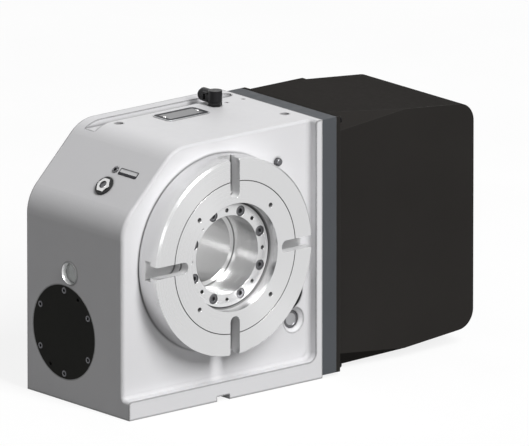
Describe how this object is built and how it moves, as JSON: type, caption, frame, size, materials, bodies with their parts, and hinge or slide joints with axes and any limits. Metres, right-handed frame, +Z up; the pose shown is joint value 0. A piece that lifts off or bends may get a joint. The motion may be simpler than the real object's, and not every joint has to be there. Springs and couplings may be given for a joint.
{
  "type": "cnc rotary table",
  "caption": "Horizontal-axis CNC rotary table: T-slotted face plate on a hollow braked spindle, worm drive in a cast housing, motor under a black side cover.",
  "frame": {"origin": "on the base plane, on the key slot's centre line under the spindle axis, in the plane of the recessed front face", "axes": "+X to the motor cover, +Y from the face plate to the back along the spindle axis, +Z up"},
  "size_m": [0.4505, 0.2123, 0.281],
  "materials": {
    "casting_paint": "silver-grey enamel, satin",
    "plate_steel": "ground steel",
    "spindle_steel": "turned steel",
    "slate_paint": "dark slate enamel, satin",
    "black_paint": "black enamel, satin",
    "black_oxide": "black oxide",
    "bronze": "cut bronze",
    "bearing_steel": "ground and polished",
    "seal_rubber": "moulded rubber",
    "sight_glass": "clear",
    "bright_steel": "nickel plated",
    "black_plastic": "moulded",
    "bare_aluminium": "satin anodised",
    "friction_lining": "pressed lining"
  },
  "bodies": {
    "housing": {"air_stud": "black_plastic", "blank_nameplate": "bare_aluminium", "brake_friction_ring": "friction_lining", "brake_rear_cap": "slate_paint", "brake_rear_cap_screws": "black_oxide", "connector_box": "black_paint", "connector_box_screws": "black_oxide", "connector_sockets": "bright_steel", "drain_plug": "bright_steel", "drive_plate": "slate_paint", "drive_plate_screws": "black_oxide", "filler_plug": "bright_steel", "filler_plug_washer": "seal_rubber", "front_bearing_outer_ring": "bearing_steel", "front_bearing_retainer": "spindle_steel", "front_oil_seal": "seal_rubber", "front_port_cap": "black_plastic", "housing_casting": "casting_paint", "level_screw": "bright_steel", "motor_cover": "black_paint", "motor_cover_screws": "black_oxide", "motor_encoder_cap": "black_plastic", "motor_flange": "bare_aluminium", "motor_screws": "black_oxide", "motor_stator": "black_paint", "rear_bearing_outer_ring": "bearing_steel", "rear_oil_seal": "seal_rubber", "retainer_screws": "black_oxide", "sight_glass_bezel": "bright_steel", "sight_glass_lens": "sight_glass", "worm_bearing_outer_rings": "bearing_steel", "worm_end_cover": "black_paint", "worm_end_cover_screws": "black_oxide", "zero_pointer": "black_oxide"},
    "table": {"face_plate": "plate_steel", "face_plate_screws": "black_oxide", "spindle": "spindle_steel", "worm_wheel": "bronze", "worm_wheel_screws": "black_oxide", "front_spacer_ring": "spindle_steel", "wheel_spacer": "spindle_steel", "front_bearing_inner_ring": "bearing_steel", "front_bearing_rollers": "bearing_steel", "rear_bearing_inner_ring": "bearing_steel", "rear_bearing_rollers": "bearing_steel", "brake_disc": "spindle_steel", "spindle_lock_nut": "black_oxide"},
    "worm": {"worm_shaft": "spindle_steel", "worm_drive_gear": "spindle_steel", "worm_bearing_inner_rings": "bearing_steel", "worm_bearing_rollers": "bearing_steel", "worm_lock_nut": "black_oxide", "worm_gear_screw": "black_oxide"},
    "rotor": {"motor_rotor": "spindle_steel", "motor_pinion": "spindle_steel"},
    "piston": {"brake_piston": "bare_aluminium"},
    "elbow": {"air_elbow": "black_plastic"},
    "collet": {"air_collet": "black_plastic"}
  },
  "joints": [
    {"name": "table_spin", "type": "hinge", "parent": "housing", "child": "table", "pos_m": [0, 0, 0.15], "axis": [0, 1, 0], "continuous": true},
    {"name": "worm_spin", "type": "hinge", "parent": "housing", "child": "worm", "pos_m": [0, 0.09, 0.07], "axis": [1, 0, 0], "continuous": true},
    {"name": "rotor_spin", "type": "hinge", "parent": "housing", "child": "rotor", "pos_m": [0, 0.069, 0.142], "axis": [1, 0, 0], "continuous": true},
    {"name": "brake_stroke", "type": "slide", "parent": "housing", "child": "piston", "axis": [0, -1, 0], "range_m": [0, 0.0008], "stiffness_N_per_m": 20000},
    {"name": "elbow_swivel", "type": "hinge", "parent": "housing", "child": "elbow", "pos_m": [0.082, 0.0995, 0.265], "axis": [0, 0, 1], "continuous": true},
    {"name": "collet_press", "type": "slide", "parent": "elbow", "child": "collet", "axis": [0, -1, 0], "range_m": [0, 0.0015], "stiffness_N_per_m": 1000}
  ],
  "couplings": [
    {"joint": "worm_spin", "follows": "table_spin", "ratio": 60},
    {"joint": "rotor_spin", "follows": "table_spin", "ratio": -90}
  ]
}
